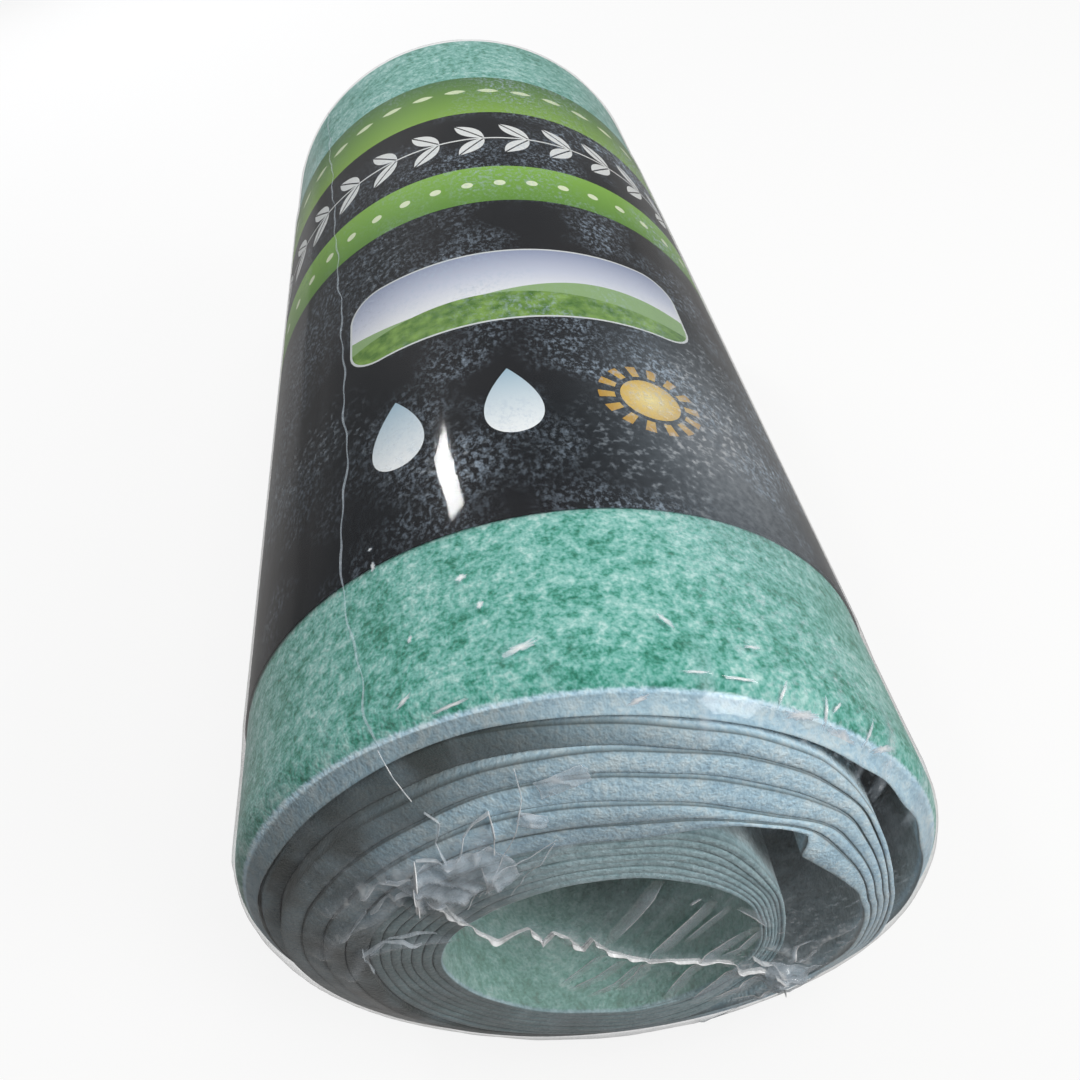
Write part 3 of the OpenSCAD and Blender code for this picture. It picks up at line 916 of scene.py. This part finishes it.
def shrinkFilm():
    profile = filmProfile()
    mesh = bpy.data.meshes.new("shrink_film")
    mesh.from_pydata([(r, y, axisZ) for r, y in profile], [(i, i + 1) for i in range(len(profile) - 1)], [])
    skin = bpy.data.objects.new("clear_shrink_film", mesh)
    scene.collection.objects.link(skin)
    selectOnly(skin)
    bpy.ops.object.mode_set(mode="EDIT")
    bpy.ops.mesh.select_all(action="SELECT")
    bpy.ops.mesh.spin(steps=film["sides"], angle=math.tau, center=(0, 0, axisZ), axis=(0, 1, 0))
    bpy.ops.mesh.select_all(action="SELECT")
    bpy.ops.mesh.remove_doubles(threshold=0.00001)
    bpy.ops.mesh.normals_make_consistent(inside=False)
    bpy.ops.object.mode_set(mode="OBJECT")
    points = getPoints(skin)
    x, y, z = points[:, 0].copy(), points[:, 1].copy(), points[:, 2] - axisZ
    radius, angle = np.hypot(x, z), np.arctan2(z, x)
    haze = np.zeros(len(points))

    onEnd = (y < nearY + 0.02) & (radius < flatTo + 0.001)
    out, milk = endCreases(x[onEnd] * 1000, z[onEnd] * 1000)
    points[onEnd, 1] -= out * smoothStep(flatTo + 0.001, flatTo - 0.006, radius[onEnd])
    haze[onEnd] = milk

    # pleats run over the rim, and long faint ripples along the roll
    side = ~onEnd & (radius > flatTo)
    ring = list(zip(np.cos(angle[side]) * 14, np.sin(angle[side]) * 14, y[side]))
    pleat, ripple = [
        np.array([noise.noise(Vector((a * around, b * around, c * along))) for a, b, c in ring])
        for around, along in ((1.6, 30), (0.55, 9))]
    nearRim = smoothStep(nearY + 0.034, nearY + 0.012, y[side])
    lift = film["ripple"] * ripple + film["rimPleat"] * nearRim * np.clip(pleat, 0, 1)
    points[side, 0] += lift * np.cos(angle[side])
    points[side, 2] += lift * np.sin(angle[side])
    turned = np.degrees(angle[side])
    # painted highlight: the pleats over the rim are milkier towards the upper right, standing in for glints
    # there
    upperRight = np.exp(-((turned - 45) / 22) ** 2)
    # partly dust, partly painted sheen: a milky patch on the right of the side that stands in for a soft
    # reflection of the sky
    dustAndSheen = np.exp(-((turned - 47) / 16) ** 2 - ((y[side] + 0.105) / 0.05) ** 2)
    haze[side] = nearRim * np.clip(pleat - 0.15, 0, 1) * (0.15 + 0.7 * upperRight) + 0.010 + 0.24 * dustAndSheen

    # the far end is gathered towards its middle, and sinks in there
    farEnd = (y > filmHigh[1] - 0.0005) & (radius < flatTo)
    fromAxis = radius[farEnd]
    gather = creaseField(np.degrees(angle[farEnd]), fromAxis * 1000, 9, 80, 5.5)
    sunk = film["farGather"] * gather * smoothStep(flatTo, 0.03, fromAxis)
    points[farEnd, 1] -= sunk + film["farSink"] * smoothStep(0.045, 0.0, fromAxis)
    haze[farEnd] = 0.04 + 0.15 * gather ** 2 * smoothStep(0.07, 0.02, fromAxis)

    points[:, 1] = leaned(x, y, z + axisZ) + points[:, 1] - y
    paint(skin, "scuffed", smoothStep(0.05, 0.45, wobble(points, 1 / 0.045, 2.2)))  # 45 mm scuffed areas
    setPoints(skin, points)
    paint(skin, "haze", haze)
    bpy.ops.object.shade_smooth()
    return skin


def ribbon(name, base, top, milk, wall):  # a narrow strip of film between two lines of points
    count = len(base)
    faces = [(i, i + 1, count + i + 1, count + i) for i in range(count - 1)]
    mesh = bpy.data.meshes.new(name)
    mesh.from_pydata([tuple(p) for p in [*base, *top]], [], faces)
    strip = bpy.data.objects.new(name, mesh)
    scene.collection.objects.link(strip)
    paint(strip, "haze", np.broadcast_to(milk, len(mesh.vertices)))
    selectOnly(strip)
    addWall(strip, wall)
    bpy.ops.object.shade_smooth_by_angle(angle=sharpest)
    return strip


def evenPath(path, count):  # evenly spaced points along a bent line
    path = np.array(path, dtype=float)
    run = np.concatenate([[0], np.cumsum(np.hypot(*np.diff(path, axis=0).T))])
    t = np.linspace(0, run[-1], count)
    return np.interp(t, run, path[:, 0]), np.interp(t, run, path[:, 1])


def filmWelds():
    # across the near end, a thin crinkled fin
    t = np.arange(150)
    base = endPoints(*evenPath(film["endSeam"], len(t)), -0.0006)
    sway = 0.0009 * np.sin(t * 0.9) + 0.0006 * np.sin(t * 0.37 + 1)
    top = base + np.stack([sway * 0.5, -0.0010 - 0.0004 * np.sin(t * 0.31), sway * 0.4 - 0.0005], 1)
    endWeld = ribbon("end_weld", base, top, 0.85, film["weldWall"])
    # across the far end
    x = np.linspace(-0.055, 0.055, 120)
    z = 0.003 * np.sin(x * 90) + 0.0015 * np.sin(x * 330)
    base = np.stack([x, filmHigh[1] - 0.0022 + 0.0012 * np.abs(x) / 0.055, axisZ + z], 1)
    top = base + np.stack([0.0008 * np.sin(x * 500), np.full(len(x), 0.0024), 0.001 * np.cos(x * 410)], 1)
    farWeld = ribbon("far_weld", base, top, 0.6, film["weldWall"])
    # along the roll
    y = np.linspace(nearY + 0.0105, filmHigh[1] - 0.010, 260)
    angle = np.interp(y, *zip(*film["seamAngle"])) + 0.35 * np.sin(y * 160) + 0.2 * np.sin(y * 410)
    angle = np.radians(angle)
    wide = 0.00032 + 0.0002 * np.sin(y * 230)
    sides = sidePoints(y, angle, 0.0002), sidePoints(y, angle + wide / filmRadius, 0.0005)
    return [endWeld, farWeld, ribbon("long_weld", *sides, 0.16, film["wall"])]


def filmPleats():  # drawn towards the knot: a sharp white edge, partly painted highlight, and a thin veil that fades out sideways
    strips = []
    t = np.linspace(0, 1, 24)
    ends = smoothStep(0, 0.25, np.minimum(t, 1 - t))
    for path, wide, milk in film["pleats"]:
        run = np.array(path[-1]) - np.array(path[0])
        aside = np.array([-run[1], run[0]]) / np.hypot(*run)
        x, z = evenPath(path, len(t))
        lines = []
        for away in (0.0, math.copysign(0.25, wide), wide):
            shift = away * (0.7 + 0.3 * ends)
            lines.append(endPoints(x + aside[0] * shift, z + aside[1] * shift, 0.0006))
        veil = np.concatenate([0.8 * milk * ends, 0.02 * ends])
        strips.append(ribbon("pleat_edge", *lines[:2], np.tile(2.0 * milk * ends, 2), film["wall"]))
        strips.append(ribbon("pleat_veil", *lines[1:], veil, film["wall"]))
    return strips


def filmFolds():  # folded edges of the loose corners
    strips = []
    for path, tall, milk in film["earEdges"]:
        x, z = evenPath(path, 40)
        t = np.linspace(0, np.hypot(np.diff(x), np.diff(z)).sum(), len(x))  # mm along the edge
        rise = tall * (0.7 + 0.3 * np.sin(t * 0.6))
        base = endPoints(x, z, -0.0004)
        top = base + np.stack([0.0003 * np.sin(t * 0.4) + 0.12 * rise, -rise, 0.0003 * np.cos(t * 0.3)], 1)
        strips.append(ribbon("ear_edge", base, top, milk, film["weldWall"]))
    return strips


def filmThreads():
    strands = []
    for number, path in enumerate(film["threads"]):
        points = endPoints(*evenPath(path, 24), 0.0006)
        points[:, 0] += 0.0008 * np.sin(np.linspace(0, 3.1, len(points)) + number)
        curve = bpy.data.curves.new("film_thread", "CURVE")
        curve.dimensions, curve.bevel_depth, curve.bevel_resolution = "3D", film["thread"], 1
        curve.use_fill_caps = True
        spline = curve.splines.new("POLY")
        spline.points.add(len(points) - 1)
        for spot, place in zip(spline.points, points):
            spot.co = (*place, 1)
        strand = bpy.data.objects.new("film_thread", curve)
        scene.collection.objects.link(strand)
        selectOnly(strand)
        bpy.ops.object.convert(target="MESH")
        strand = bpy.context.object
        paint(strand, "haze", np.full(len(strand.data.vertices), 0.5))
        strands.append(strand)
    return strands


def drapedEar(name, centre, size, degrees, rise, seed):  # loose corner of the bag, folded over on itself
    bpy.ops.object.select_all(action="DESELECT")
    bpy.ops.mesh.primitive_grid_add(x_subdivisions=36, y_subdivisions=26, size=2)
    ear = bpy.context.object
    ear.name = name
    flat = getPoints(ear)
    u, v = flat[:, 0], flat[:, 1]
    outward = np.maximum(np.abs(u), np.abs(v))
    ragged = 1 + 0.14 * wobble(flat, 1.8, seed)
    cosine, sine = math.cos(math.radians(degrees)), math.sin(math.radians(degrees))
    x = centre[0] + ragged * (u * size[0] * cosine - v * size[1] * sine)
    z = centre[1] + ragged * (u * size[0] * sine + v * size[1] * cosine)
    ridge = creaseField(x + 0.8 * z, z - 0.5 * x, 9, 16, seed) ** 2
    height = 0.25 + 0.35 * np.abs(wobble(flat, 1.6, seed + 4)) + 0.6 * ridge
    setPoints(ear, endPoints(x, z, rise * smoothStep(1.0, 0.55, outward) * height / 1000 + 0.0002))
    paint(ear, "haze", np.clip(0.18 + 0.16 * ridge ** 2 + 0.14 * smoothStep(0.9, 1.0, outward), 0, 0.4))
    addWall(ear, film["earWall"])
    bpy.ops.object.shade_smooth()
    return ear


def filmGlints():  # painted highlights: small milky white spots that stand in for glints on the film
    spots = []
    for y, degrees, long, wide, turned in film["glints"]:
        bpy.ops.object.select_all(action="DESELECT")
        bpy.ops.mesh.primitive_circle_add(vertices=28, radius=1, fill_type="TRIFAN")
        spot = bpy.context.object
        flat = getPoints(spot)
        ragged = 0.9 + 0.65 * wobble(flat, 3.7, 900 * y)
        u, v = flat[:, 0] * long / 2 * ragged, flat[:, 1] * wide / 2 * ragged
        around = math.radians(degrees) - (u * math.cos(turned) - v * math.sin(turned)) / filmRadius
        setPoints(spot, sidePoints(y + u * math.sin(turned) + v * math.cos(turned), around, 0.0008))
        paint(spot, "haze", np.where(np.hypot(flat[:, 0], flat[:, 1]) > 0.5, 0.25, 0.8))
        addWall(spot, film["wall"])
        spots.append(spot)
    return spots


# Polyolefin shrink film, blown thin and drawn tight: clear and glossy, and milky where it creases, welds
# or is scuffed, and where milky white stands in as painted highlight and sheen
def filmMaterial():
    clear, tree = newMaterial("polyolefin_shrink_film")
    place = node(tree, "TexCoord").outputs["Object"]
    haze = node(tree, "Attribute", attribute_name="haze").outputs["Fac"]
    scuffed = node(tree, "Attribute", attribute_name="scuffed").outputs["Fac"]
    # scuffs of 2 mm
    grit = node(tree, "TexNoise", place, into={"Scale": 1 / 0.0020, "Detail": 1.0, "Roughness": 0.7})
    specks = node(tree, "MapRange", grit.outputs["Fac"], 0.54, 0.82)
    scuff = node(tree, "Math", scuffed, specks, operation="MULTIPLY")
    uneven = node(tree, "MapRange", grit.outputs["Fac"], 0.3, 0.7, 0.75, 1.2)
    milky = node(tree, "Math", haze, uneven, operation="MULTIPLY")
    milky = node(tree, "Math", scuff, 0.26, milky, operation="MULTIPLY_ADD", use_clamp=True)
    # 6 mm ripples, drawn out along the roll
    stretch = node(tree, "Mapping", place, into={"Scale": (1 / 0.006, 1 / 0.030, 1 / 0.006)})
    ripple = node(tree, "TexNoise", stretch, into={"Scale": 1.0, "Detail": 0.0})
    bump = node(tree, "Bump", into={"Strength": 0.22, "Distance": 0.0004, "Height": ripple.outputs["Fac"]})
    through = node(tree, "BsdfTransparent", into={"Color": "#FFFFFF"})
    gloss = node(tree, "BsdfGlossy", into={"Color": "#FFFFFF", "Roughness": 0.055, "Normal": bump})
    # its mirror is faint head on and strong edge on, alike from both sides
    edgeOn = node(tree, "LayerWeight", into={"Blend": 0.5, "Normal": bump}).outputs["Facing"]
    edgeOn = node(tree, "Math", edgeOn, 5.0, operation="POWER")
    mirror = node(tree, "Math", edgeOn, 0.53, 0.018, operation="MULTIPLY_ADD")
    skin = node(tree, "MixShader", mirror, through, gloss)
    whiter = node(tree, "ValToRGB", milky, stops=[(0.1, "#CFE0EE"), (0.6, "#FCFDFE")])
    milk = node(tree, "BsdfPrincipled", into={
        "Base Color": whiter, "Roughness": 0.28, "IOR": 1.45, "Normal": bump})
    shader = node(tree, "MixShader", milky, skin, milk)
    node(tree, "OutputMaterial", shader)
    return clear


skinPiece = shrinkFilm()
ears = [drapedEar(*ear) for ear in film["ears"]]
extras = filmWelds() + filmPleats() + filmFolds() + filmThreads() + filmGlints() + ears
selectOnly(skinPiece)
for piece in extras:
    piece.select_set(True)
bpy.ops.object.join()
dress(skinPiece, filmMaterial(), "clear_film", "shrink_film")
print("film drawn,", len(skinPiece.data.polygons), "faces")
